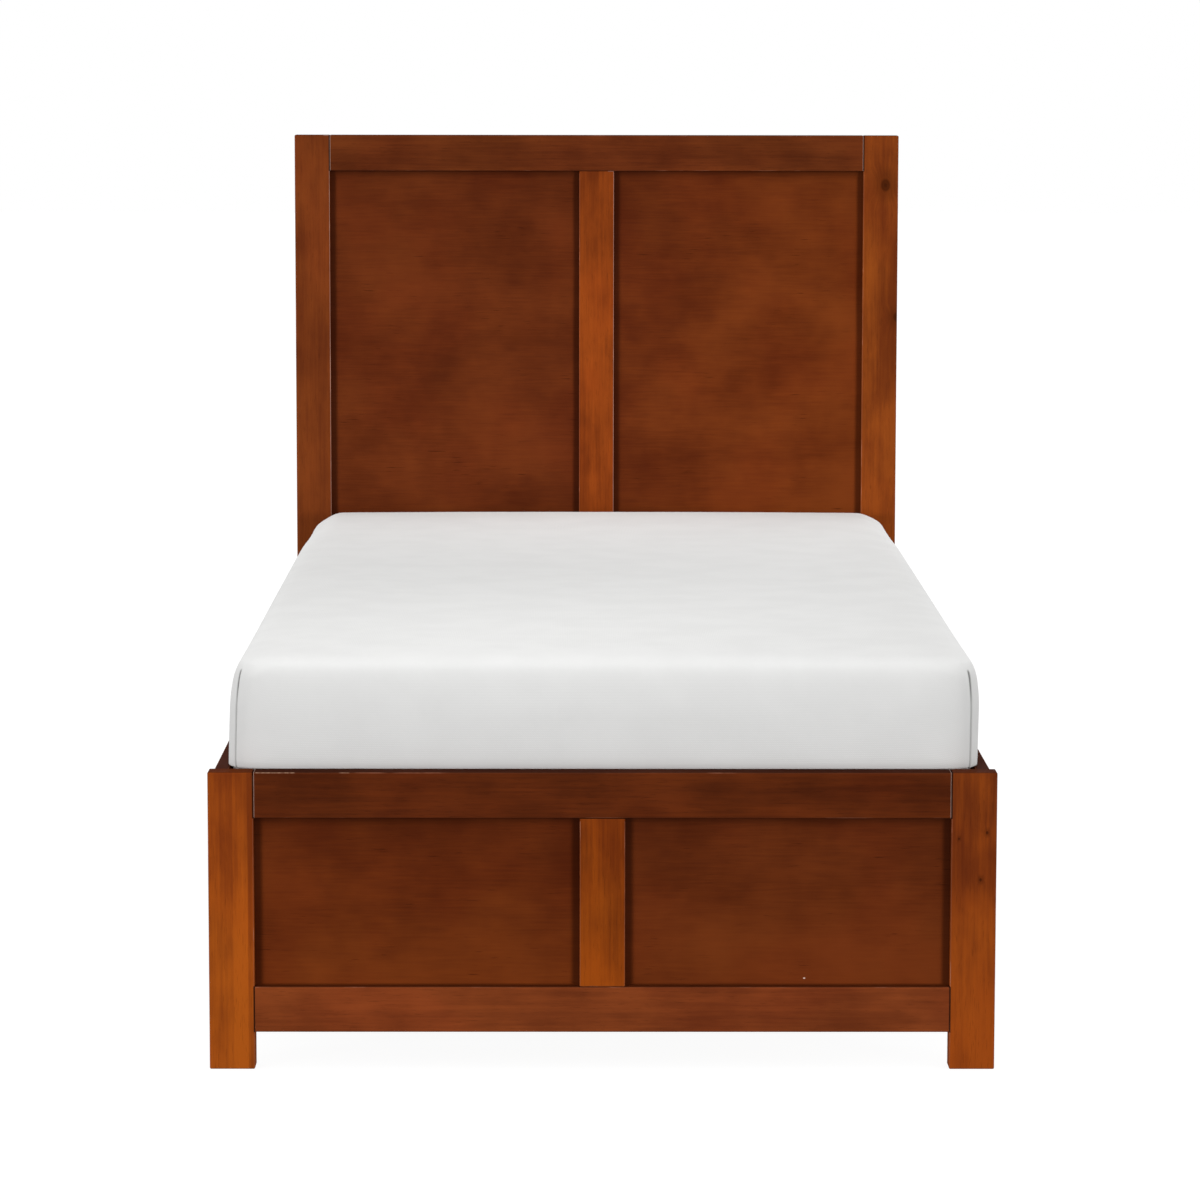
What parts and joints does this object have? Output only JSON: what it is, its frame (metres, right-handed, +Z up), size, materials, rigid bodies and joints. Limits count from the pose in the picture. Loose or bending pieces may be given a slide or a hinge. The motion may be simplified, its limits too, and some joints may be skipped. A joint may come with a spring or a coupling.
{
  "type": "platform bed",
  "caption": "Twin platform bed: panelled headboard and low panelled footboard joined by thin side rails, with a slatted deck that carries a mattress.",
  "frame": {"origin": "on the floor under the middle of the bed", "axes": "+X to the right seen from the footboard, +Y from the footboard to the headboard, +Z up"},
  "size_m": [1.04, 1.983, 1.194],
  "materials": {
    "cherry_timber": "satin",
    "panel_veneer": "satin",
    "slat_timber": "matte",
    "support_timber": "matte",
    "dowel_timber": "matte",
    "webbing": "matte",
    "bracket_steel": "satin",
    "fastener_steel": "satin",
    "foot_plastic": "matte",
    "mattress_cover": "matte"
  },
  "bodies": {
    "frame": {"bracket_bolts": "fastener_steel", "bracket_screws": "fastener_steel", "bracket_washers": "fastener_steel", "centre_beam": "support_timber", "cleat_screws": "fastener_steel", "footboard_beam_hanger": "bracket_steel", "footboard_bottom_rail": "cherry_timber", "footboard_centre_stile": "cherry_timber", "footboard_left_bracket": "bracket_steel", "footboard_left_panel": "panel_veneer", "footboard_left_post": "cherry_timber", "footboard_right_bracket": "bracket_steel", "footboard_right_panel": "panel_veneer", "footboard_right_post": "cherry_timber", "footboard_top_rail": "cherry_timber", "front_centre_leg": "support_timber", "hanger_screws": "fastener_steel", "headboard_beam_hanger": "bracket_steel", "headboard_bottom_rail": "cherry_timber", "headboard_centre_stile": "cherry_timber", "headboard_left_bracket": "bracket_steel", "headboard_left_panel": "panel_veneer", "headboard_left_post": "cherry_timber", "headboard_right_bracket": "bracket_steel", "headboard_right_panel": "panel_veneer", "headboard_right_post": "cherry_timber", "headboard_top_rail": "cherry_timber", "left_side_rail": "cherry_timber", "left_slat_cleat": "support_timber", "left_slat_strap": "webbing", "leg_bolts": "fastener_steel", "leg_tee_nuts": "fastener_steel", "post_inserts": "fastener_steel", "rail_dowels": "dowel_timber", "rear_centre_leg": "support_timber", "right_side_rail": "cherry_timber", "right_slat_cleat": "support_timber", "right_slat_strap": "webbing", "slat_01": "slat_timber", "slat_02": "slat_timber", "slat_03": "slat_timber", "slat_04": "slat_timber", "slat_05": "slat_timber", "slat_06": "slat_timber", "slat_07": "slat_timber", "slat_08": "slat_timber", "slat_09": "slat_timber", "slat_10": "slat_timber", "slat_11": "slat_timber", "slat_12": "slat_timber", "slat_13": "slat_timber", "slat_screws": "fastener_steel", "strap_staples": "fastener_steel"},
    "mattress": {"mattress": "mattress_cover"},
    "front_leveller": {"front_leveller_pad": "foot_plastic", "front_leveller_stem": "fastener_steel"},
    "rear_leveller": {"rear_leveller_pad": "foot_plastic", "rear_leveller_stem": "fastener_steel"}
  },
  "joints": [
    {"name": "mattress_lift", "type": "slide", "parent": "frame", "child": "mattress", "axis": [0, 0, 1], "range_m": [0, 0.9]},
    {"name": "front_leveller_screw", "type": "slide", "parent": "frame", "child": "front_leveller", "axis": [0, 0, 1], "range_m": [-0.01, 0.01]},
    {"name": "rear_leveller_screw", "type": "slide", "parent": "frame", "child": "rear_leveller", "axis": [0, 0, 1], "range_m": [-0.01, 0.01]}
  ]
}
